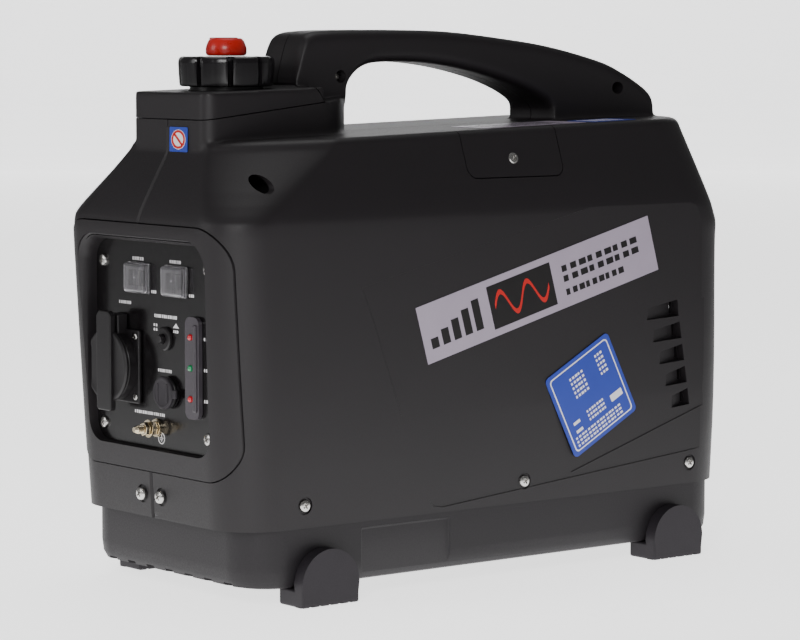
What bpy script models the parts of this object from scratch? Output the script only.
"""Suitcase inverter generator of about 1 kW, taken apart into its separate pieces.

Everything is in metres. -Y is the front with the control panel, +X the right side with the spark
plug cover, +Z is up. The origin lies on the ground under the middle of the housing.
"""

import math

import bmesh
import bpy
from mathutils import Matrix, Vector

# Driving dimensions
HALF_TRACK = 0.110
FOOT_HALF = 0.0235
WALL = 0.003
GAP = 0.0003
SHELL_FLOOR = 0.052
CREASE = 0.258
RIDGE = 0.240
HALF_WIDTH = 0.1035
DECK_HALF_WIDTH = 0.0865
DECK_EDGE = 0.006
DECK_FRONT = -0.205
DECK_HEIGHT = 0.3055
DECK_SLOPE = 0.028

FILLER_HALF_WIDTH = 0.045
FILLER_FRONT = -0.2050
FILLER_BACK = -0.0735
FILLER_COVER_BACK = -0.1070
FILLER_SEAM = 0.3200
FILLER_SEAM_SLOPE = 0.11
FILLER_TOP = 0.3380
FILLER_TOP_SLOPE = 0.030

PANEL_FACE = -0.2160
PANEL_HALF_WIDTH = 0.0720
PANEL_LOW = 0.0990
PANEL_HIGH = 0.2380
PANEL_THICK = 0.0025
BEZEL_HALF_WIDTH = 0.0945
BEZEL_LOW = 0.0830
BEZEL_HIGH = 0.2515

CAP_Y = -0.1570
CAP_LOW = 0.3415
CAP_HIGH = 0.3618
CAP_RADIUS = 0.0330
KNOB_RADIUS = 0.0140

HANDLE_HALF_WIDTH = 0.0225
HANDLE_FLARE = 0.0420
HANDLE_WALL = 0.0050
HANDLE_POCKET = 0.0145

BASE_LOW = 0.0120
BASE_HALF_WIDTH = 0.1000
BASE_FRONT = -0.2090
BASE_BACK = 0.2150

CRANK_Y = 0.0300
CRANK_Z = 0.1080
GRIP_Y = 0.0900
GRIP_Z = 0.2380
FRONT_SCREW_X = 0.0113
FRONT_SCREW_Z = 0.0674

COLOURS = {
    "black_abs": ((0.024, 0.020, 0.023), 0.55, 0.0),
    "gloss_panel": ((0.010, 0.008, 0.009), 0.25, 0.0),
    "rubber": ((0.016, 0.016, 0.017), 0.85, 0.0),
    "red_plastic": ((0.55, 0.012, 0.010), 0.35, 0.0),
    "clear_vinyl": ((0.32, 0.32, 0.33), 0.25, 0.0),
    "cast_aluminium": ((0.45, 0.45, 0.46), 0.50, 1.0),
    "steel": ((0.56, 0.56, 0.57), 0.30, 1.0),
    "zinc": ((0.62, 0.61, 0.58), 0.28, 1.0),
    "brass": ((0.60, 0.45, 0.18), 0.30, 1.0),
    "copper": ((0.60, 0.25, 0.12), 0.40, 1.0),
    "heat_steel": ((0.18, 0.16, 0.15), 0.60, 1.0),
    "ceramic": ((0.80, 0.80, 0.78), 0.30, 0.0),
    "led_window": ((0.20, 0.19, 0.20), 0.20, 0.0),
}


# Scene and collections

def clear_scene():
    """Remove every object of the open scene."""
    for old in list(bpy.data.objects):
        bpy.data.objects.remove(old, do_unlink=True)


def new_collection(name):
    """Add a collection under the scene."""
    collection = bpy.data.collections.new(name)
    bpy.context.scene.collection.children.link(collection)
    return collection


clear_scene()
PARTS = new_collection("inverter_generator")
TOOLS = new_collection("cutters")


def finish_of(slot):
    """Return the material of this slot, made on first use."""
    found = bpy.data.materials.get(slot)
    if found:
        return found
    colour, roughness, metallic = COLOURS[slot]
    made = bpy.data.materials.new(slot)
    made.use_nodes = True
    shader = made.node_tree.nodes["Principled BSDF"]
    shader.inputs["Base Color"].default_value = (*colour, 1.0)
    shader.inputs["Roughness"].default_value = roughness
    shader.inputs["Metallic"].default_value = metallic
    return made


# Making single solids

def put(name, mesh, slot=None):
    """Put a mesh in the scene: as a part if it has a slot, otherwise as a tool."""
    made = bpy.data.objects.new(name, mesh)
    if slot:
        PARTS.objects.link(made)
        made.data.materials.clear()
        made.data.materials.append(finish_of(slot))
        mesh.shade_smooth()
        mesh.set_sharp_from_angle(angle=math.radians(32))
    else:
        TOOLS.objects.link(made)
        made.hide_render = True
        made.display_type = "WIRE"
    return made


def mesh_from(bm, name):
    """Turn a bmesh into a mesh with its faces pointing out."""
    bmesh.ops.recalc_face_normals(bm, faces=bm.faces)
    mesh = bpy.data.meshes.new(name)
    bm.to_mesh(mesh)
    bm.free()
    return mesh


def block(name, low, high, slot=None, round_=0.0, axis=None, segments=2):
    """Make a box from its corners, with its edges rounded: all, or those along one axis."""
    low = Vector(low)
    high = Vector(high)
    bm = bmesh.new()
    bmesh.ops.create_cube(bm, size=1.0)
    bmesh.ops.scale(bm, vec=high - low, verts=bm.verts)
    bmesh.ops.translate(bm, vec=(low + high) / 2, verts=bm.verts)
    if round_:
        edges = bm.edges[:]
        if axis:
            along = "XYZ".index(axis)
            edges = [e for e in edges if abs((e.verts[0].co - e.verts[1].co)[along]) > 1e-6]
        bmesh.ops.bevel(bm, geom=edges, offset=round_, segments=segments, profile=0.5,
                        affect="EDGES")
    return put(name, mesh_from(bm, name), slot)


def rod(name, start, end, radius, slot=None, end_radius=None, segments=24):
    """Make a cylinder or a cone from one point to another."""
    start = Vector(start)
    end = Vector(end)
    run = end - start
    turn = run.to_track_quat("Z", "Y").to_matrix().to_4x4()
    bm = bmesh.new()
    bmesh.ops.create_cone(bm, cap_ends=True, segments=segments, radius1=radius,
                          radius2=radius if end_radius is None else end_radius,
                          depth=run.length, matrix=Matrix.Translation((start + end) / 2) @ turn)
    return put(name, mesh_from(bm, name), slot)


def turned(name, profile, slot=None, place=(0, 0, 0), facing=(0, 0, 1), steps=32):
    """Turn a profile of (radius, height) points, given from top to bottom, about one axis."""
    mesh = bpy.data.meshes.new(name)
    points = [(radius, 0.0, height) for radius, height in profile]
    mesh.from_pydata(points, [(i, i + 1) for i in range(len(points) - 1)], [])
    made = put(name, mesh, slot)
    made.location = place
    made.rotation_euler = Vector(facing).to_track_quat("Z", "Y").to_euler()
    screw = made.modifiers.new("turn", "SCREW")
    screw.steps = steps
    screw.render_steps = steps
    screw.use_merge_vertices = True
    screw.merge_threshold = 1e-5
    screw.use_smooth_shade = False
    return made


def evaluated_mesh(thing, name):
    """Return the mesh of an object with its modifiers, in world space."""
    bpy.context.view_layer.update()
    graph = bpy.context.evaluated_depsgraph_get()
    mesh = bpy.data.meshes.new_from_object(thing.evaluated_get(graph))
    mesh.transform(thing.matrix_world)
    mesh.name = name
    return mesh


def flat(name, points, axis, low, high, slot=None):
    """Give a flat outline a thickness from low to high along one axis.

    The outline is in (Y, Z) for axis X, in (X, Z) for axis Y and in (X, Y) for axis Z.
    """
    curve = bpy.data.curves.new(name, "CURVE")
    curve.dimensions = "2D"
    curve.fill_mode = "BOTH"
    curve.extrude = (high - low) / 2
    spline = curve.splines.new("POLY")
    spline.points.add(len(points) - 1)
    for knot, (u, v) in zip(spline.points, points):
        knot.co = (u, v, 0.0, 1.0)
    spline.use_cyclic_u = True
    outline = bpy.data.objects.new(name + "_outline", curve)
    TOOLS.objects.link(outline)
    mesh = evaluated_mesh(outline, name)
    bpy.data.objects.remove(outline, do_unlink=True)
    turns = {
        "X": Matrix(((0, 0, 1), (1, 0, 0), (0, 1, 0))),
        "Y": Matrix(((1, 0, 0), (0, 0, -1), (0, 1, 0))),
        "Z": Matrix.Identity(3),
    }
    middle = Vector([(low + high) / 2 if letter == axis else 0.0 for letter in "XYZ"])
    bm = bmesh.new()
    bm.from_mesh(mesh)
    bmesh.ops.remove_doubles(bm, verts=bm.verts, dist=1e-6)
    bm.transform(Matrix.Translation(middle) @ turns[axis].to_4x4())
    return put(name, mesh_from(bm, name), slot)


def lofted(name, rings, slot=None):
    """Join rings with equal numbers of points into one closed solid."""
    bm = bmesh.new()
    rows = [[bm.verts.new(point) for point in ring] for ring in rings]
    for below, above in zip(rows, rows[1:]):
        for i, point in enumerate(below):
            j = (i + 1) % len(below)
            bm.faces.new((point, below[j], above[j], above[i]))
    bm.faces.new(rows[0])
    bm.faces.new(rows[-1])
    return put(name, mesh_from(bm, name), slot)


def tube(name, points, radius, slot, resolution=3):
    """Make a round bar or hose through points with a curve."""
    curve = bpy.data.curves.new(name, "CURVE")
    curve.dimensions = "3D"
    curve.bevel_depth = radius
    curve.bevel_resolution = resolution
    curve.use_fill_caps = True
    spline = curve.splines.new("POLY")
    spline.points.add(len(points) - 1)
    for knot, point in zip(spline.points, points):
        knot.co = (*point, 1.0)
    made = bpy.data.objects.new(name, curve)
    PARTS.objects.link(made)
    curve.materials.append(finish_of(slot))
    return made


def as_mesh(thing, slot):
    """Replace a curve with the welded mesh of its evaluated shape."""
    name = thing.name
    mesh = evaluated_mesh(thing, name)
    bpy.data.objects.remove(thing, do_unlink=True)
    bm = bmesh.new()
    bm.from_mesh(mesh)
    bmesh.ops.remove_doubles(bm, verts=bm.verts, dist=1e-6)
    return put(name, mesh_from(bm, name), slot)


# Combining solids

def combine(operation, target, tools):
    """Add one exact Boolean modifier for each tool."""
    for tool in tools:
        if tool.name in PARTS.objects:
            PARTS.objects.unlink(tool)
            TOOLS.objects.link(tool)
            tool.hide_render = True
            tool.display_type = "WIRE"
        modifier = target.modifiers.new(tool.name, "BOOLEAN")
        modifier.operation = operation
        modifier.solver = "EXACT"
        modifier.object = tool
    return target


def cut(target, *tools):
    """Take the tools away from the target."""
    return combine("DIFFERENCE", target, tools)


def join(target, *tools):
    """Unite the tools with the target."""
    return combine("UNION", target, tools)


def keep(target, *tools):
    """Keep what the target and each tool share."""
    return combine("INTERSECT", target, tools)


def pivot(thing, point):
    """Move a piece's origin to a point of its joint axis and leave its shape where it is."""
    point = Vector(point)
    thing.data.transform(Matrix.Translation(thing.location - point))
    thing.location = point
    return thing


def arc(centre, radius, start, end, count):
    """Return points of an arc, with angles in degrees."""
    angles = [math.radians(start + (end - start) * i / count) for i in range(count + 1)]
    return [(centre[0] + radius * math.cos(a), centre[1] + radius * math.sin(a)) for a in angles]


def comb(low, high, root_low, root_high, pitch, thick):
    """Return the outline of a finned body. Each of low and high is a fin tip and a root."""
    def side(tip, root, start):
        points = [(root, root_low)] if start > root_low else []
        level = start
        while level + thick < root_high:
            points += [(tip, level), (tip, level + thick), (root, level + thick)]
            level += pitch
            points.append((root, min(level, root_high)))
        return points
    stagger = thick / 3
    return side(high[0], high[1], root_low + stagger) + side(low[0], low[1], root_low)[::-1]


# The housing's own surfaces

def deck_at(y):
    """Height of the sloping deck."""
    return DECK_HEIGHT + DECK_SLOPE * (y - DECK_FRONT)


def seam_at(y):
    """Height of the parting line between the shells and the filler cover."""
    return FILLER_SEAM + FILLER_SEAM_SLOPE * (y - FILLER_FRONT)


def cover_at(y):
    """Height of the filler cover's sloping top."""
    return FILLER_TOP + FILLER_TOP_SLOPE * (y - FILLER_FRONT)


# Height, front, back, half width, front corner size in x and y, its power, back corner radius
LEVELS = (
    (SHELL_FLOOR, -0.2187, 0.2250, 0.1015, 0.035, 0.035, 2.0, 0.042),
    (0.1200, -0.2226, 0.2285, 0.1035, 0.035, 0.035, 2.0, 0.044),
    (0.2280, -0.2290, 0.2285, 0.1035, 0.035, 0.035, 2.0, 0.046),
    (RIDGE, -0.2295, 0.2300, 0.1035, 0.035, 0.035, 2.0, 0.046),
    (0.2480, -0.2300, 0.2270, 0.1035, 0.035, 0.035, 2.0, 0.046),
    (CREASE, -0.2285, 0.2235, 0.1032, 0.036, 0.036, 2.0, 0.046),
)
DECK_LEVEL = (-0.2045, 0.2080, DECK_HALF_WIDTH, 0.0415, 0.075, 1.25, 0.046)
CORNER_POINTS = 5


def housing_ring(level, inset, height_of):
    """Return one closed ring of the housing's plan outline, shrunk by inset."""
    front, back, half, corner_x, corner_y, power, back_corner = level
    front += inset
    back -= inset
    half -= inset
    right = [(half - corner_x, front)]
    for i in range(1, CORNER_POINTS):
        a = math.pi / 2 * i / CORNER_POINTS
        right.append((half - corner_x + corner_x * math.sin(a) ** (2 / power),
                      front + corner_y - corner_y * math.cos(a) ** (2 / power)))
    right.append((half, front + corner_y))
    right.append((half, (front + corner_y + back - back_corner) / 2))
    for i in range(CORNER_POINTS + 1):
        a = math.pi / 2 * i / CORNER_POINTS
        right.append((half - back_corner + back_corner * math.cos(a),
                      back - back_corner + back_corner * math.sin(a)))
    plan = right + [(-x, y) for x, y in reversed(right)]
    return [(x, y, height_of(y)) for x, y in plan]


def housing_solid(name, inset, floor):
    """Make the solid inside the housing's surface, set in by inset."""
    rings = [housing_ring(LEVELS[0][1:], inset, lambda y: floor)]
    for level in LEVELS[1:]:
        rings.append(housing_ring(level[1:], inset, lambda y, z=level[0]: z))
    for turn in (0, 30, 60, 90):
        a = math.radians(turn)
        step_in = inset + DECK_EDGE * (1 - math.cos(a))
        rise = DECK_EDGE * (math.sin(a) - 1) - inset
        rings.append(housing_ring(DECK_LEVEL, step_in, lambda y, r=rise: deck_at(y) + r))
    return lofted(name, rings)


def filler_ring(inset, back, taper, height_of):
    """Return the filler block's plan outline, narrowing at the back if it has a taper."""
    half = FILLER_HALF_WIDTH - inset
    front = FILLER_FRONT + inset
    corner = 0.009 - inset / 2
    right = [(0.5 * (half - corner), front)]
    right += [(half - corner + x, front + corner + y) for x, y in arc((0, 0), corner, -90, 0, 4)]
    right.append((half, back - inset - taper))
    for i in range(1, 5):
        a = math.radians(22.5 * i)
        narrow = (FILLER_HALF_WIDTH - HANDLE_HALF_WIDTH) * (taper > 0)
        right.append((half - narrow * math.sin(a / 2) ** 2 * 2, back - inset - taper * (1 - i / 4)))
    plan = right + [(-x, y) for x, y in reversed(right)]
    return [(x, y, height_of(y)) for x, y in plan]


def filler_solid(name, inset, back, taper, bottom_of, top_of, slot=None):
    """Make the block that carries the fuel filler between two sloping heights."""
    return lofted(name, [filler_ring(inset, back, taper, bottom_of),
                         filler_ring(inset, back, taper, top_of)], slot)


def housing_wall():
    """Make the whole housing wall once; each cover and shell is then cut out of it."""
    outer = housing_solid("housing_outer", 0.0, SHELL_FLOOR)
    outer_block = filler_solid("filler_outer", 0.0, FILLER_BACK, 0.034,
                               lambda y: deck_at(y) - 0.012, seam_at)
    inner = housing_solid("housing_inner", WALL, SHELL_FLOOR - 0.01)
    inner_block = filler_solid("filler_inner", WALL, FILLER_COVER_BACK - 0.004, 0.0,
                               lambda y: deck_at(y) - 0.02, lambda y: seam_at(y) + 0.01)
    join(outer, outer_block)
    cut(outer, inner, inner_block)
    mesh = evaluated_mesh(outer, "housing_wall")
    solid = housing_solid("housing_solid", 0.0, SHELL_FLOOR)
    return mesh, solid


WALL_MESH, HOUSING_SOLID = housing_wall()


def wall_copy(name, slot):
    """Start a piece as the whole housing wall."""
    return put(name, WALL_MESH.copy(), slot)


# Windows in the housing wall: (low corner, high corner, corner radius, axis of the rounded edges)
BEZEL_WINDOW = ((-BEZEL_HALF_WIDTH, -0.26, BEZEL_LOW), (BEZEL_HALF_WIDTH, -0.17, BEZEL_HIGH),
                0.027, "Y")
REAR_WINDOW = ((-0.0780, 0.18, 0.0780), (0.0780, 0.26, 0.2250), 0.016, "Y")
SERVICE_WINDOW = ((0.0560, -0.0230, 0.2780), (0.1200, 0.0640, 0.3300), 0.008, "X")
UPKEEP_WINDOW = ((-0.1200, -0.0900, 0.0760), (-0.0850, 0.0350, 0.2260), 0.012, "X")


def window(name, sizes, shrink=0.0):
    """Make the tool for a window in the wall, or the slightly smaller one for its cover."""
    low, high, corner, axis = sizes
    along = "XYZ".index(axis)
    low = Vector([low[i] + (0 if i == along else shrink) for i in range(3)])
    high = Vector([high[i] - (0 if i == along else shrink) for i in range(3)])
    return block(name, low, high, round_=corner - shrink, axis=axis, segments=5)


def louvre_tools(name, side):
    """Make the five sloping louvre slots at the rear of one side."""
    slots = []
    for i in range(5):
        top = 0.1865 - 0.0162 * i
        front = 0.1370 + 0.0062 * i
        back = 0.1680 + 0.0028 * i
        outline = [(front, top - 0.0135), (back, top - 0.0120), (back - 0.002, top),
                   (front, top - 0.0050)]
        low, high = sorted((side * 0.09, side * 0.12))
        slots.append(flat(f"{name}_{i}", outline, "X", low, high))
    return slots


def shell(name, side):
    """Make one of the two side shells."""
    made = wall_copy(name, "black_abs")
    far, near = sorted((-side * 0.2, side * GAP / 2))
    cut(made, block(name + "_other_half", (far, -0.3, 0.0), (near, 0.3, 0.4)))
    cut(made, window(name + "_bezel_window", BEZEL_WINDOW),
        window(name + "_rear_window", REAR_WINDOW))
    cut(made, *louvre_tools(name + "_louvre", side))
    for i, y in enumerate((-0.167, 0.023, 0.180)):
        cut(made, rod(f"{name}_screw_hole_{i}", (side * 0.09, y, 0.067), (side * 0.11, y, 0.067),
                      0.0022, segments=12))
    cut(made, rod(name + "_front_hole", (side * FRONT_SCREW_X, -0.23, FRONT_SCREW_Z),
                  (side * FRONT_SCREW_X, -0.20, FRONT_SCREW_Z), 0.0022, segments=12))
    cut(made, rod(name + "_shoulder_hole", (side * 0.05, -0.189, 0.2790),
                  (side * 0.11, -0.189, 0.2790), 0.0062, segments=16))
    return made


def right_shell():
    """Make the right shell, notched for the spark plug cover."""
    made = shell("right_shell", 1)
    cut(made, window("right_service_window", SERVICE_WINDOW))
    return made


def left_shell():
    """Make the left shell, with openings for the upkeep cover, the starter rope and two levers."""
    made = shell("left_shell", -1)
    cut(made, window("left_upkeep_window", UPKEEP_WINDOW))
    cut(made, rod("left_rope_hole", (-0.09, GRIP_Y, GRIP_Z), (-0.12, GRIP_Y, GRIP_Z), 0.0060,
                  segments=16))
    for name, (y, z) in KNOB_PLACES.items():
        cut(made, rod(name + "_hole", (-0.09, y, z), (-0.12, y, z), 0.0050, segments=16))
    return made


KNOB_PLACES = {"choke_knob": (-0.0500, 0.2430), "fuel_cock_knob": (-0.1100, 0.2430)}


def service_cover():
    """Make the spark plug cover that wraps over the right deck edge."""
    made = wall_copy("service_cover", "black_abs")
    keep(made, window("service_cover_outline", SERVICE_WINDOW, GAP))
    cut(made, rod("service_cover_hole", (0.08, 0.0205, 0.2910), (0.12, 0.0205, 0.2910), 0.0022,
                  segments=12))
    return made


def upkeep_cover():
    """Make the left cover over the oil filler and the air cleaner."""
    made = wall_copy("maintenance_cover", "black_abs")
    keep(made, window("upkeep_cover_outline", UPKEEP_WINDOW, GAP))
    return made


def front_bezel():
    """Make the raised frame round the control panel, with its recess walls."""
    made = wall_copy("front_bezel", "black_abs")
    keep(made, window("bezel_outline", BEZEL_WINDOW, GAP))
    wall = PANEL_HALF_WIDTH + 0.0025
    rim = block("bezel_rim", (-wall, -0.24, PANEL_LOW - 0.0025),
                (wall, -0.2100, PANEL_HIGH + 0.0025), round_=0.017, axis="Y", segments=5)
    keep(rim, HOUSING_SOLID)
    join(made, rim)
    cut(made, block("bezel_recess", (-PANEL_HALF_WIDTH, -0.26, PANEL_LOW),
                    (PANEL_HALF_WIDTH, -0.16, PANEL_HIGH), round_=0.015, axis="Y", segments=5))
    return made


def rear_cover():
    """Make the rear cover with its air slots and the round exhaust outlet."""
    made = wall_copy("rear_cover", "black_abs")
    keep(made, window("rear_cover_outline", REAR_WINDOW, GAP))
    for i in range(6):
        low = 0.0900 + 0.0100 * i
        cut(made, block(f"rear_slot_{i}", (-0.0620, 0.2, low), (0.0620, 0.26, low + 0.0055)))
    cut(made, rod("exhaust_outlet", (0.0300, 0.19, 0.1850), (0.0300, 0.26, 0.1850), 0.0170,
                  segments=24))
    return made


# The handle and the filler cover

# Side profile as (Y, Z): the top of the handle, then the top of its hand opening
HANDLE_TOP = ((-0.1065, 0.3765), (-0.0680, 0.3800), (-0.0240, 0.3800), (0.0210, 0.3786),
              (0.0670, 0.3744), (0.1140, 0.3680), (0.1590, 0.3568), (0.1760, 0.3490),
              (0.1900, 0.3402), (0.1975, 0.3338), (0.2020, 0.3270), (0.2045, 0.3212))
OPENING_TOP = ((-0.0715, 0.3345), (-0.0700, 0.3400), (-0.0640, 0.3480), (-0.0550, 0.3540),
               (-0.0420, 0.3570), (-0.0060, 0.3570), (0.0300, 0.3530), (0.0670, 0.3450),
               (0.0950, 0.3355), (0.1110, 0.3270), (0.1150, 0.3220))
FOOT_FRONT = -0.0715
FOOT_BACK = 0.1150


def follow(points, y):
    """Read a height between the given points."""
    for (y0, z0), (y1, z1) in zip(points, points[1:]):
        if y0 <= y <= y1:
            return z0 + (z1 - z0) * (y - y0) / (y1 - y0)
    return points[0][1] if y < points[0][0] else points[-1][1]


def handle_underside(y):
    """Height of the handle's lower face: its feet rest on the housing with a small gap."""
    if y <= FOOT_FRONT:
        return seam_at(y) + GAP
    if y >= FOOT_BACK:
        return deck_at(y) + GAP
    return follow(OPENING_TOP, y)


def handle_half_width(y):
    """The handle widens towards its rear foot, and rounds off at its very end."""
    share = max(0.0, min(1.0, (y - 0.06) / 0.14))
    end = max(0.0, (y - 0.1950) / 0.0095)
    return HANDLE_HALF_WIDTH + (HANDLE_FLARE - HANDLE_HALF_WIDTH) * share ** 2 - 0.010 * end ** 2


def handle_section(y, side):
    """Return one upright section of half a handle, flat at the centre plane."""
    low = handle_underside(y)
    high = max(follow(HANDLE_TOP, y), low + 0.004)
    half = handle_half_width(y)
    edge = min(0.007, (high - low) / 2.2)
    foot = 0.0008 if y <= FOOT_FRONT or y >= FOOT_BACK else edge
    points = [(GAP / 2, low)]
    points += [(half - foot + x, low + foot + z) for x, z in arc((0, 0), foot, -90, 0, 2)]
    points += [(half - edge + x, high - edge + z) for x, z in arc((0, 0), edge, 0, 90, 3)]
    points += [(GAP / 2, high)]
    return [(side * x, y, z) for x, z in points]


def pocket_outline():
    """Return the outline of the hollow inside the handle, a wall thickness in from its faces."""
    top = [(y, z - HANDLE_WALL) for y, z in HANDLE_TOP if FOOT_FRONT - 0.02 < y < 0.1950]
    grip = [(y, z + HANDLE_WALL) for y, z in OPENING_TOP[2:-2]]
    front = FILLER_COVER_BACK + HANDLE_WALL
    step = FOOT_FRONT - HANDLE_WALL
    outline = [(front, seam_at(front) + HANDLE_WALL), (step, seam_at(step) + HANDLE_WALL),
               (step, grip[0][1] - 0.002)]
    outline += grip
    outline += [(0.1150, deck_at(0.1150) + 2 * HANDLE_WALL), (0.1300, deck_at(0.1300) + HANDLE_WALL),
                (0.1880, deck_at(0.1880) + HANDLE_WALL)]
    return outline + top[::-1] + [(front, 0.3765 - HANDLE_WALL)]


def handle_half(name, side):
    """Loft half of the handle from the filler cover to the back of the deck."""
    lean = FILLER_COVER_BACK + 0.0012
    stations = [lean, -0.1035, -0.0950, -0.0850, FOOT_FRONT - 0.0002]
    stations += [FOOT_FRONT + 0.0002] + [y for y, _ in OPENING_TOP[1:-1]]
    stations += [FOOT_BACK - 0.0002, FOOT_BACK + 0.0002, 0.130, 0.145, 0.160, 0.175, 0.190]
    stations += [0.1975, 0.2020, 0.2045]
    made = lofted(name, [handle_section(y, side) for y in stations], "black_abs")
    low, high = sorted((side * HANDLE_POCKET, -side * 0.002))
    cut(made, flat(name + "_pocket", pocket_outline(), "X", low, high))
    for i, (y, z) in enumerate(((-0.0767, 0.3477), (0.1690, 0.3376))):
        half = handle_half_width(y)
        cut(made, rod(f"{name}_screw_well_{i}", (side * (half - 0.0060), y, z),
                      (side * (half + 0.02), y, z), 0.0045, segments=12))
    return made


def filler_cover():
    """Make the hollow cover on top of the tank, with the hole for the filler neck."""
    made = filler_solid("filler_cover", 0.0, FILLER_COVER_BACK, 0.0,
                        lambda y: seam_at(y) + GAP, cover_at, "black_abs")
    cut(made, filler_solid("filler_cover_hollow", WALL, FILLER_COVER_BACK, 0.0,
                           lambda y: seam_at(y) - 0.01, lambda y: cover_at(y) - WALL))
    cut(made, rod("filler_cover_hole", (0, CAP_Y, 0.30), (0, CAP_Y, 0.36), 0.0262, segments=32))
    return made


# The base

def base_ring(inset, height, lift=0.0):
    """Return the base pan's plan outline."""
    half = BASE_HALF_WIDTH - inset
    front = BASE_FRONT + inset + lift
    back = BASE_BACK - inset - lift
    corner = 0.030 - inset
    right = [(half - corner + x, front + corner + y) for x, y in arc((0, 0), corner, -90, 0, 5)]
    right += [(half - corner + x, back - corner + y) for x, y in arc((0, 0), corner, 0, 90, 5)]
    plan = right + [(-x, y) for x, y in reversed(right)]
    return [(x, y, height) for x, y in plan]


def base_pan():
    """Make the tray that carries the engine and the inverter."""
    top = SHELL_FLOOR - GAP
    made = lofted("base_pan", [base_ring(0.006, BASE_LOW, 0.004), base_ring(0.001, BASE_LOW + 0.006),
                               base_ring(0.0, top)], "black_abs")
    cut(made, lofted("base_hollow", [base_ring(0.010, BASE_LOW + 0.0045, 0.003),
                                     base_ring(0.0035, BASE_LOW + 0.012), base_ring(0.0035, 0.06)]))
    for i in range(7):
        x = -0.0690 + 0.0230 * i
        cut(made, block(f"front_drain_{i}", (x - 0.0045, -0.22, 0.0080), (x + 0.0045, -0.190, 0.0155)))
    return made


def foot(name, side, y):
    """Make a rubber foot: a sole under the base and a round-topped pad on its side."""
    low_y = y - FOOT_HALF
    high_y = y + FOOT_HALF
    sole = block(name, (side * 0.0965 - 0.0135, low_y, 0.0), (side * 0.0965 + 0.0135, high_y,
                 BASE_LOW - GAP), "rubber", round_=0.0015)
    outline = [(low_y, 0.0002), (high_y, 0.0002)] + arc((y, 0.0145), FOOT_HALF, 0, 180, 10)
    low, high = sorted((side * (BASE_HALF_WIDTH + GAP), side * HALF_TRACK))
    return join(sole, flat(name + "_pad", outline, "X", low, high))


# The control panel

def control_panel():
    """Make the panel plate with its cut-outs."""
    made = block("control_panel", (-PANEL_HALF_WIDTH + GAP, PANEL_FACE, PANEL_LOW + GAP),
                 (PANEL_HALF_WIDTH - GAP, PANEL_FACE + PANEL_THICK, PANEL_HIGH - GAP),
                 "gloss_panel", round_=0.0147, axis="Y", segments=5)
    back = PANEL_FACE + 0.01
    front = PANEL_FACE - 0.01
    for x in SWITCH_X:
        cut(made, block(f"switch_cut_{x}", (x - 0.0105, front, SWITCH_Z - 0.0070),
                        (x + 0.0105, back, SWITCH_Z + 0.0070)))
    cut(made, rod("ac_cut", (AC_X, front, AC_Z), (AC_X, back, AC_Z), 0.0195, segments=24))
    cut(made, rod("dc_cut", (DC_X, front, DC_Z), (DC_X, back, DC_Z), 0.0085, segments=16))
    cut(made, rod("breaker_cut", (BREAKER_X, front, BREAKER_Z), (BREAKER_X, back, BREAKER_Z),
                  0.0060, segments=16))
    cut(made, block("strip_cut", (STRIP_X - 0.0060, front, STRIP_Z - 0.0300),
                    (STRIP_X + 0.0060, back, STRIP_Z + 0.0300)))
    cut(made, rod("earth_cut", (EARTH_X, front, EARTH_Z), (EARTH_X, back, EARTH_Z), 0.0028,
                  segments=12))
    return made


SWITCH_X = (-0.0185, 0.0260)
SWITCH_Z = 0.2130
AC_X = -0.0410
AC_Z = 0.1525
AC_FLAT = 0.0180
DC_X = 0.0150
DC_Z = 0.1380
DC_PROUD = 0.0018
BREAKER_X = 0.0125
BREAKER_Z = 0.1740
STRIP_X = 0.0475
STRIP_Z = 0.1570
EARTH_X = 0.0020
EARTH_Z = 0.1130


def rocker_switch(name, x):
    """Make a switch frame and the rocker that tips in it about a crosswise axis."""
    face = PANEL_FACE - GAP
    frame = block(name + "_frame", (x - 0.0115, face - 0.0020, SWITCH_Z - 0.0090),
                  (x + 0.0115, face, SWITCH_Z + 0.0090), "rubber", round_=0.0006)
    join(frame, block(name + "_frame_barrel", (x - 0.0100, face - 0.001, SWITCH_Z - 0.0065),
                      (x + 0.0100, PANEL_FACE + 0.0160, SWITCH_Z + 0.0065)))
    cut(frame, block(name + "_frame_well", (x - 0.0088, -0.25, SWITCH_Z - 0.0055),
                     (x + 0.0088, PANEL_FACE + 0.0120, SWITCH_Z + 0.0055)))
    axis_y = PANEL_FACE + 0.0030
    outline = [(x - 0.0060, axis_y - 0.0038), (x, axis_y - 0.0050), (x + 0.0060, axis_y - 0.0072),
               (x + 0.0062, axis_y - 0.0020), (x + 0.0036, axis_y + 0.0030),
               (x - 0.0036, axis_y + 0.0030), (x - 0.0062, axis_y + 0.0010)]
    rocker = flat(name + "_rocker", outline, "Z", SWITCH_Z - 0.0049, SWITCH_Z + 0.0049, "rubber")
    pivot(rocker, (x, axis_y, SWITCH_Z))
    boot = block(name + "_boot", (x - 0.0128, face - 0.0062, SWITCH_Z - 0.0106),
                 (x + 0.0128, face, SWITCH_Z + 0.0106), "clear_vinyl", round_=0.0022)
    cut(boot, block(name + "_boot_hollow", (x - 0.0117, face - 0.0050, SWITCH_Z - 0.0094),
                    (x + 0.0117, face + 0.001, SWITCH_Z + 0.0094)))
    return frame, rocker, boot


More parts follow.
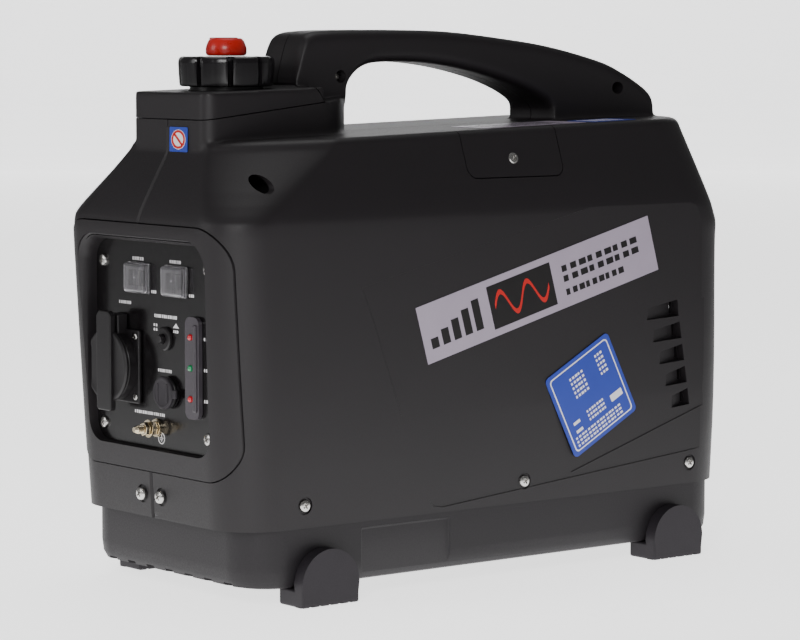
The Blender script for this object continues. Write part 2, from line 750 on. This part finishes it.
def ac_socket():
    """Make the mains socket: a square flange, a round collar and the hinge bracket above it."""
    face = PANEL_FACE - GAP
    made = block("ac_socket", (AC_X - 0.0250, face - 0.0030, AC_Z - 0.0250),
                 (AC_X + 0.0250, face, AC_Z + 0.0250), "rubber", round_=0.0010)
    join(made, rod("ac_barrel", (AC_X, face - 0.001, AC_Z), (AC_X, PANEL_FACE + 0.0280, AC_Z),
                   0.0190, segments=24))
    collar = rod("ac_collar", (AC_X, face - 0.0100, AC_Z), (AC_X, face - 0.001, AC_Z), 0.0235,
                 segments=32)
    cut(collar, block("ac_collar_flat", (AC_X - 0.04, -0.24, AC_Z - 0.03),
                      (AC_X - AC_FLAT, -0.20, AC_Z + 0.03)))
    join(made, collar)
    join(made, block("ac_bracket", (AC_X - 0.0080, face - 0.0085, AC_Z + 0.0200),
                     (AC_X + 0.0080, face, AC_Z + 0.0350)))
    cut(made, rod("ac_well", (AC_X, -0.26, AC_Z), (AC_X, PANEL_FACE + 0.0060, AC_Z), 0.0165,
                  segments=32))
    for i, z in enumerate((-0.0095, 0.0095)):
        cut(made, rod(f"ac_contact_{i}", (AC_X + z, -0.26, AC_Z),
                      (AC_X + z, PANEL_FACE + 0.0240, AC_Z), 0.0026, segments=12))
    return made


def ac_flap():
    """Make the sprung lid of the mains socket, hung from the bracket above it."""
    back = PANEL_FACE - GAP - 0.0100 - GAP
    made = rod("ac_socket_lid", (AC_X, back - 0.0030, AC_Z), (AC_X, back, AC_Z), 0.0250,
               "rubber", segments=40)
    cut(made, block("ac_lid_flat", (AC_X - 0.04, -0.24, AC_Z - 0.03),
                    (AC_X - AC_FLAT, -0.22, AC_Z + 0.03)))
    join(made, block("ac_lid_strap", (AC_X - 0.0086, back - 0.0048, AC_Z - 0.0305),
                     (AC_X + 0.0086, back - 0.0002, AC_Z + 0.0375), round_=0.0010))
    return pivot(made, (AC_X, back - 0.0020, AC_Z + 0.0350))


def dc_parts():
    """Make the DC socket, its hinged cap, the breaker and its push button."""
    face = PANEL_FACE - GAP
    socket = turned("dc_socket", [(0.0, DC_PROUD), (0.0105, DC_PROUD), (0.0105, 0.0), (0.0082, 0.0),
                                  (0.0082, -0.0180), (0.0, -0.0180)],
                    "rubber", (DC_X, face, DC_Z), (0, -1, 0), 24)
    cut(socket, rod("dc_well", (DC_X, -0.25, DC_Z), (DC_X, PANEL_FACE + 0.0120, DC_Z), 0.0060,
                    segments=20))
    lid_back = face - DC_PROUD - GAP
    lid = rod("dc_socket_cap", (DC_X, lid_back - 0.0030, DC_Z), (DC_X, lid_back, DC_Z), 0.0112,
              "rubber", segments=28)
    join(lid, block("dc_cap_tab", (DC_X + 0.0080, lid_back - 0.0025, DC_Z - 0.0030),
                    (DC_X + 0.0150, lid_back, DC_Z + 0.0030)))
    pivot(lid, (DC_X + 0.0140, lid_back - 0.0012, DC_Z))
    body = turned("dc_breaker", [(0.0, 0.0025), (0.0080, 0.0025), (0.0080, 0.0), (0.0057, 0.0),
                                 (0.0057, -0.0200), (0.0, -0.0200)],
                  "rubber", (BREAKER_X, face, BREAKER_Z), (0, -1, 0), 20)
    cut(body, rod("breaker_well", (BREAKER_X, -0.25, BREAKER_Z),
                  (BREAKER_X, PANEL_FACE + 0.0100, BREAKER_Z), 0.0036, segments=16))
    button = rod("dc_breaker_button", (BREAKER_X, face - 0.0060, BREAKER_Z),
                 (BREAKER_X, PANEL_FACE + 0.0050, BREAKER_Z), 0.0032, "rubber", segments=16)
    pivot(button, (BREAKER_X, face, BREAKER_Z))
    return socket, lid, body, button


def indicator_strip():
    """Make the lamp strip with its three lamps and its front rib."""
    face = PANEL_FACE - GAP
    made = block("indicator_strip", (STRIP_X - 0.0080, face - 0.0030, STRIP_Z - 0.0340),
                 (STRIP_X + 0.0080, face, STRIP_Z + 0.0340), "led_window", round_=0.0055,
                 axis="Y", segments=3)
    join(made, block("strip_back", (STRIP_X - 0.0055, face - 0.001, STRIP_Z - 0.0295),
                     (STRIP_X + 0.0055, PANEL_FACE + 0.0100, STRIP_Z + 0.0295)))
    for i in range(3):
        z = STRIP_Z + 0.0205 * (i - 1)
        join(made, rod(f"lamp_{i}", (STRIP_X - 0.0015, face - 0.0050, z),
                       (STRIP_X - 0.0015, face - 0.0020, z), 0.0022, segments=12))
    return made


def earth_terminal():
    """Make the earth stud with its two nuts and washers, which are tight on it."""
    profile = [(0.0, 0.0190), (0.0020, 0.0186), (0.0025, 0.0178), (0.0025, 0.0160),
               (0.0048, 0.0160), (0.0048, 0.0122), (0.0060, 0.0120), (0.0060, 0.0110),
               (0.0025, 0.0108), (0.0025, 0.0074), (0.0048, 0.0072), (0.0048, 0.0036),
               (0.0062, 0.0034), (0.0062, 0.0), (0.0025, 0.0), (0.0025, -0.0120), (0.0, -0.0120)]
    return turned("earth_terminal", profile, "brass", (EARTH_X, PANEL_FACE - GAP, EARTH_Z),
                  (0, -1, 0), 12)


# The fuel side

TANK_OUTLET = Vector((-0.0350, -0.0390, 0.2620))


def fuel_tank():
    """Make the moulded tank with its filler neck."""
    made = block("fuel_tank", (-0.0700, -0.1700, 0.2450), (0.0700, -0.0450, 0.2960), "gloss_panel",
                 round_=0.014)
    join(made, block("tank_sump", (-0.0850, -0.1980, 0.2300), (0.0850, -0.0980, 0.2580),
                     round_=0.008))
    join(made, rod("tank_neck", (0, CAP_Y, 0.290), (0, CAP_Y, CAP_LOW - 0.0010), 0.0250,
                   segments=24))
    join(made, rod("tank_outlet", TANK_OUTLET - Vector((0, 0.012, 0)), TANK_OUTLET, 0.0040,
                   segments=12))
    cut(made, block("tank_hollow", (-0.0675, -0.1675, 0.2475), (0.0675, -0.0475, 0.2935),
                    round_=0.012))
    cut(made, block("sump_hollow", (-0.0825, -0.1955, 0.2325), (0.0825, -0.1005, 0.2555),
                    round_=0.006))
    cut(made, rod("neck_bore", (0, CAP_Y, 0.280), (0, CAP_Y, 0.36), 0.0205, segments=24))
    return made


def fuel_cap():
    """Make the lobed cap: a turned body with grooves cut down its rim."""
    profile = [(0.0, CAP_HIGH), (CAP_RADIUS - 0.0040, CAP_HIGH), (CAP_RADIUS - 0.0012, CAP_HIGH - 0.0012),
               (CAP_RADIUS, CAP_HIGH - 0.0040), (CAP_RADIUS, CAP_LOW + 0.0010),
               (CAP_RADIUS - 0.0010, CAP_LOW), (0.0270, CAP_LOW), (0.0265, CAP_LOW + 0.0020),
               (0.0200, CAP_LOW + 0.0020), (0.0195, CAP_LOW - 0.0150), (0.0, CAP_LOW - 0.0150)]
    profile = [(radius, height - CAP_HIGH) for radius, height in profile]
    made = turned("fuel_cap", profile, "gloss_panel", (0, CAP_Y, CAP_HIGH), steps=36)
    for i in range(9):
        a = 2 * math.pi * (i + 0.5) / 9
        x = (CAP_RADIUS + 0.0006) * math.cos(a)
        y = CAP_Y + (CAP_RADIUS + 0.0006) * math.sin(a)
        cut(made, rod(f"cap_groove_{i}", (x, y, CAP_LOW - 0.004), (x, y, CAP_HIGH + 0.004), 0.0030,
                      segments=8))
    return made


def vent_knob():
    """Make the red vent knob on the cap with the pointer rib across it."""
    profile = [(0.0, 0.0105), (0.0105, 0.0105), (0.0128, 0.0092), (KNOB_RADIUS, 0.0068),
               (KNOB_RADIUS, 0.0030), (0.0125, 0.0010), (0.0120, 0.0), (0.0, 0.0)]
    made = turned("cap_vent_knob", profile, "red_plastic", (0, CAP_Y, CAP_HIGH + GAP), steps=28)
    join(made, block("knob_rib", (-0.0020, CAP_Y - 0.0095, CAP_HIGH + 0.0090),
                     (0.0020, CAP_Y + 0.0040, CAP_HIGH + 0.0127)))
    return made


def fuel_hose():
    """Run the hose from the tank to the carburettor."""
    start = TANK_OUTLET + Vector((0, GAP, 0))
    end = Vector((-0.0080 - GAP, -0.0300, 0.2260))
    points = [start, start + Vector((0, 0.0050, -0.0002)), start + Vector((0.0005, 0.0085, -0.0025)),
              start + Vector((0.0015, 0.0095, -0.0080)), start + Vector((0.0040, 0.0095, -0.0180)),
              start + Vector((0.0070, 0.0092, -0.0280)), end + Vector((-0.0130, -0.0003, 0.0025)),
              end + Vector((-0.0070, 0, 0)), end]
    return tube("fuel_hose", points, 0.0030, "rubber", 2)


# The engine

def crankcase():
    """Make the crankcase with its finned cylinder, the bores that hold the crankshaft and its feet."""
    made = block("crankcase", (-0.0300, -0.0250, 0.0480), (0.0480, 0.0850, 0.1500),
                 "cast_aluminium", round_=0.010)
    barrel = comb((-0.0050, 0.0020), (0.0700, 0.0630), 0.1480, 0.2250, 0.0110, 0.0035)
    join(made, flat("cylinder_barrel", barrel, "X", -0.0250, 0.0430))
    for i, (x, y) in enumerate(MOUNT_PLACES):
        join(made, block(f"engine_lug_{i}", (x - 0.0110, y - 0.0110, 0.0440),
                         (x + 0.0110, y + 0.0110, 0.0560), round_=0.002))
    cut(made, rod("crank_bore", (-0.06, CRANK_Y, CRANK_Z), (0.0420, CRANK_Y, CRANK_Z), 0.0128,
                  segments=24))
    cut(made, rod("oil_bore", OIL_SEAT - OIL_AXIS * 0.03, OIL_SEAT + OIL_AXIS * 0.02, 0.0085,
                  segments=20))
    return made


MOUNT_PLACES = ((-0.0180, -0.0130), (0.0360, -0.0130), (-0.0180, 0.0730), (0.0360, 0.0730))
OIL_AXIS = Vector((0.0, -0.8, 0.6))
OIL_SEAT = Vector((-0.0080, -0.0250, 0.0850))


def cylinder_head():
    """Make the cylinder head with its fins, ports and the threaded plug seat."""
    outline = comb((-0.0060, 0.0010), (0.0710, 0.0640), 0.2256, 0.2520, 0.0085, 0.0035)
    made = flat("cylinder_head", outline, "X", -0.0250, 0.0430, "cast_aluminium")
    join(made, block("intake_port", (-0.0030, -0.0140, 0.2280), (0.0210, 0.0050, 0.2460)))
    join(made, block("exhaust_port", (-0.0030, 0.0600, 0.2290), (0.0210, 0.0760, 0.2450)))
    cut(made, rod("plug_seat", (0.0300, CRANK_Y, 0.2390), (0.06, CRANK_Y, 0.2390), 0.0072,
                  segments=16))
    cut(made, rod("intake_bore", (0.0090, -0.03, 0.2370), (0.0090, -0.0020, 0.2370), 0.0060,
                  segments=14))
    cut(made, rod("exhaust_bore", (0.0090, 0.0660, 0.2370), (0.0090, 0.09, 0.2370), 0.0060,
                  segments=14))
    return made


def rocker_cover():
    """Make the cover over the valve gear."""
    return block("rocker_cover", (-0.0220, 0.0040, 0.2523), (0.0400, 0.0610, 0.2700), "steel",
                 round_=0.006)


def crankshaft():
    """Make the crankshaft: a journal through the bearing and the taper for the rotor."""
    profile = [(0.0, 0.0700), (0.0050, 0.0700), (0.0050, 0.0420), (0.0080, 0.0400),
               (0.0080, 0.0330), (0.0120, 0.0330), (0.0120, -0.0350), (0.0, -0.0350)]
    return turned("crankshaft", profile, "steel", (0, CRANK_Y, CRANK_Z), (-1, 0, 0), 20)


def alternator():
    """Make the fixed stator with its coils and the cup-shaped rotor that turns round it."""
    stator = rod("alternator_stator", (-0.0520, CRANK_Y, CRANK_Z), (-0.0303, CRANK_Y, CRANK_Z),
                 0.0300, "copper", segments=24)
    for i in range(9):
        a = 2 * math.pi * i / 9
        y = CRANK_Y + 0.0330 * math.cos(a)
        z = CRANK_Z + 0.0330 * math.sin(a)
        join(stator, rod(f"stator_pole_{i}", (-0.0500, y, z), (-0.0320, y, z), 0.0075, segments=6))
    cut(stator, rod("stator_bore", (-0.06, CRANK_Y, CRANK_Z), (-0.02, CRANK_Y, CRANK_Z), 0.0130,
                    segments=24))
    profile = [(0.0053, 0.0620), (0.0480, 0.0620), (0.0480, 0.0320), (0.0425, 0.0320),
               (0.0425, 0.0560), (0.0110, 0.0560), (0.0110, 0.0430), (0.0053, 0.0430),
               (0.0053, 0.0620)]
    rotor = turned("alternator_rotor", profile, "heat_steel", (0, CRANK_Y, CRANK_Z), (-1, 0, 0), 24)
    return stator, rotor


def cooling_fan():
    """Make the fan disc with its curved blades."""
    profile = [(0.0053, 0.0650), (0.0500, 0.0650), (0.0500, 0.0625), (0.0053, 0.0625),
               (0.0053, 0.0650)]
    fan = turned("cooling_fan", profile, "black_abs", (0, CRANK_Y, CRANK_Z), (-1, 0, 0), 20)
    for i in range(10):
        a = 2 * math.pi * i / 10
        near = (CRANK_Y + 0.0250 * math.cos(a), CRANK_Z + 0.0250 * math.sin(a))
        far = (CRANK_Y + 0.0480 * math.cos(a + 0.35), CRANK_Z + 0.0480 * math.sin(a + 0.35))
        thick = Vector((-(far[1] - near[1]), far[0] - near[0])).normalized() * 0.0010
        outline = [(near[0] + thick.x, near[1] + thick.y), (near[0] - thick.x, near[1] - thick.y),
                   (far[0] - thick.x, far[1] - thick.y), (far[0] + thick.x, far[1] + thick.y)]
        join(fan, flat(f"fan_blade_{i}", outline, "X", -0.0730, -0.0640))
    return fan


def recoil_starter():
    """Make the starter housing and the rope pulley that turns on its post."""
    profile = [(0.0, 0.0955), (0.0540, 0.0955), (0.0580, 0.0900), (0.0580, 0.0610),
               (0.0555, 0.0610), (0.0555, 0.0880), (0.0520, 0.0925), (0.0050, 0.0925),
               (0.0050, 0.0770), (0.0, 0.0770)]
    housing = turned("recoil_housing", profile, "black_abs", (0, CRANK_Y, CRANK_Z), (-1, 0, 0), 20)
    for i in range(6):
        a = 2 * math.pi * (i + 0.5) / 6
        y = CRANK_Y + 0.0400 * math.cos(a)
        z = CRANK_Z + 0.0400 * math.sin(a)
        cut(housing, rod(f"housing_vent_{i}", (-0.10, y, z), (-0.088, y, z), 0.0085, segments=8))
    profile = [(0.0054, 0.0915), (0.0360, 0.0915), (0.0360, 0.0895), (0.0300, 0.0885),
               (0.0300, 0.0805), (0.0360, 0.0795), (0.0360, 0.0775), (0.0054, 0.0775),
               (0.0054, 0.0915)]
    pulley = turned("recoil_pulley", profile, "rubber", (0, CRANK_Y, CRANK_Z), (-1, 0, 0), 20)
    return housing, pulley


def starter_grip():
    """Make the pull grip with the end of the starter rope in it."""
    made = block("starter_grip", (-0.1098, GRIP_Y - 0.0260, GRIP_Z - 0.0070),
                 (-0.1040, GRIP_Y + 0.0260, GRIP_Z + 0.0070), "rubber", round_=0.0026)
    join(made, rod("starter_rope_end", (-0.1060, GRIP_Y, GRIP_Z), (-0.0850, GRIP_Y, GRIP_Z),
                   0.0025, segments=12))
    return pivot(made, (-0.1040, GRIP_Y, GRIP_Z))


def side_knob(name):
    """Make a small turn knob on the left side with its spindle through the shell."""
    y, z = KNOB_PLACES[name]
    made = rod(name, (-0.1097, y, z), (-0.1040, y, z), 0.0120, "rubber", segments=24)
    join(made, block(name + "_bar", (-0.1099, y - 0.0020, z - 0.0115),
                     (-0.1060, y + 0.0020, z + 0.0115)))
    join(made, rod(name + "_spindle", (-0.1060, y, z), (-0.0900, y, z), 0.0040, segments=12))
    return pivot(made, (-0.1040, y, z))


def intake():
    """Make the carburettor, the air cleaner's case and its element."""
    body = block("carburettor", (-0.0080, -0.0480, 0.2130), (0.0260, -0.0143, 0.2420),
                 "cast_aluminium", round_=0.003)
    join(body, rod("float_bowl", (0.0090, -0.0310, 0.1960), (0.0090, -0.0310, 0.2150), 0.0140,
                   segments=20))
    cut(body, rod("carburettor_bore", (0.0090, -0.06, 0.2290), (0.0090, 0.0, 0.2290), 0.0070,
                  segments=16))
    case = block("air_cleaner_case", (-0.0550, -0.0950, 0.1200), (0.0550, -0.0483, 0.2400),
                 "black_abs", round_=0.003)
    cut(case, block("air_cleaner_hollow", (-0.0525, -0.1000, 0.1225), (0.0525, -0.0508, 0.2375)))
    cut(case, rod("intake_mouth", (0.0090, -0.06, 0.2290), (0.0090, -0.04, 0.2290), 0.0070,
                  segments=16))
    element = block("air_cleaner_element", (-0.0500, -0.0900, 0.1250), (0.0500, -0.0600, 0.2350),
                    "rubber", round_=0.004)
    return body, case, element


def muffler():
    """Make the silencer with the bent pipe from the cylinder head and the tail pipe welded to it."""
    made = block("muffler", (-0.0600, 0.1150, 0.1200), (0.0600, 0.1950, 0.2120), "heat_steel",
                 round_=0.014)
    join(made, rod("tail_pipe", (0.0300, 0.1900, 0.1850), (0.0300, 0.2220, 0.1850), 0.0110,
                   segments=20))
    points = [(0.0090, 0.0764, 0.2370), (0.0090, 0.0820, 0.2370), (0.0090, 0.0890, 0.2340),
              (0.0090, 0.0950, 0.2290), (0.0090, 0.1000, 0.2210), (0.0090, 0.1020, 0.2120),
              (0.0090, 0.1040, 0.2030), (0.0090, 0.1090, 0.1980), (0.0090, 0.1180, 0.1970)]
    join(made, as_mesh(tube("exhaust_pipe", points, 0.0070, "heat_steel", 2), "heat_steel"))
    cut(made, block("muffler_hollow", (-0.0575, 0.1175, 0.1225), (0.0575, 0.1925, 0.2095),
                    round_=0.0115))
    cut(made, rod("tail_bore", (0.0300, 0.1820, 0.1850), (0.0300, 0.24, 0.1850), 0.0090,
                  segments=16))
    return made


def ignition():
    """Make the ignition coil beside the rotor, the plug and its cap."""
    coil = block("ignition_coil", (-0.0560, 0.0200, 0.1680), (-0.0320, 0.0420, 0.1920), "rubber",
                 round_=0.003)
    plug = turned("spark_plug", [(0.0, 0.0300), (0.0022, 0.0300), (0.0022, 0.0250), (0.0040, 0.0240),
                                 (0.0045, 0.0080), (0.0085, 0.0070), (0.0085, 0.0), (0.0068, 0.0),
                                 (0.0068, -0.0100), (0.0, -0.0100)],
                  "ceramic", (0.0434, CRANK_Y, 0.2390), (1, 0, 0), 14)
    cap = rod("spark_plug_cap", (0.0590, CRANK_Y, 0.2390), (0.0800, CRANK_Y, 0.2390), 0.0080,
              "rubber", segments=18)
    cut(cap, rod("plug_cap_bore", (0.05, CRANK_Y, 0.2390), (0.0750, CRANK_Y, 0.2390), 0.0050,
                 segments=16))
    return coil, plug, cap


def oil_filler_cap():
    """Make the screw-in oil filler cap with its dipstick."""
    profile = [(0.0, 0.0120), (0.0120, 0.0110), (0.0130, 0.0090), (0.0130, 0.0004),
               (0.0080, 0.0004), (0.0080, -0.0100), (0.0020, -0.0110), (0.0020, -0.0240),
               (0.0, -0.0240)]
    return turned("oil_filler_cap", profile, "rubber", OIL_SEAT + OIL_AXIS * 0.0104, OIL_AXIS, 16)


def engine_mount(name, place):
    """Make a rubber mount between the base and an engine lug."""
    x, y = place
    profile = [(0.0, 0.0437), (0.0090, 0.0437), (0.0100, 0.0400), (0.0085, 0.0300),
               (0.0100, 0.0200), (0.0100, 0.0168), (0.0, 0.0168)]
    return turned(name, profile, "rubber", (x, y, 0.0), steps=12)


def inverter_unit():
    """Make the inverter's finned casting that lies behind the control panel."""
    outline = [(-0.0780, 0.0200), (0.0780, 0.0200), (0.0780, 0.0300)]
    for i in range(12):
        x = 0.0740 - 0.0130 * i
        outline += [(x, 0.0300), (x, 0.0600), (x - 0.0040, 0.0600), (x - 0.0040, 0.0300)]
    outline += [(-0.0780, 0.0300)]
    return flat("inverter_unit", outline, "Y", -0.1850, -0.0800, "cast_aluminium")


def screw(name, place, facing, radius=0.0042, length=0.0100):
    """Make a pan-head screw, its head at the given place."""
    profile = [(0.0, radius * 0.62), (radius * 0.6, radius * 0.52), (radius, radius * 0.2),
               (radius, 0.0), (radius * 0.42, 0.0), (radius * 0.42, -length), (0.0, -length)]
    return turned(name, profile, "zinc", place, facing, 14)


# Assembly

def build_housing():
    """Build the covers, the handle and the base."""
    right_shell()
    left_shell()
    handle_half("right_handle_half", 1)
    handle_half("left_handle_half", -1)
    filler_cover()
    front_bezel()
    rear_cover()
    service_cover()
    upkeep_cover()
    base_pan()
    for end, y in (("front", -0.1515), ("rear", 0.1625)):
        foot(f"{end}_right_foot", 1, y)
        foot(f"{end}_left_foot", -1, y)


def build_controls():
    """Build the control panel and what is on it."""
    control_panel()
    for name, x in zip(("engine_switch", "eco_switch"), SWITCH_X):
        rocker_switch(name, x)
    ac_socket()
    ac_flap()
    dc_parts()
    indicator_strip()
    earth_terminal()
    side_knob("choke_knob")
    side_knob("fuel_cock_knob")


def build_engine():
    """Build the fuel system, the engine, the alternator and the inverter."""
    fuel_tank()
    fuel_cap()
    vent_knob()
    fuel_hose()
    crankcase()
    cylinder_head()
    rocker_cover()
    crankshaft()
    alternator()
    cooling_fan()
    recoil_starter()
    starter_grip()
    intake()
    muffler()
    ignition()
    oil_filler_cap()
    for i, place in enumerate(MOUNT_PLACES, 1):
        engine_mount(f"engine_mount_{i}", place)
    inverter_unit()


def build_screws():
    """Build the screws that close the front of the housing."""
    for side, name in ((1, "right"), (-1, "left")):
        screw(f"front_{name}_screw", (side * FRONT_SCREW_X, -0.2202, FRONT_SCREW_Z), (0, -1, 0))


build_housing()
build_controls()
build_engine()
build_screws()
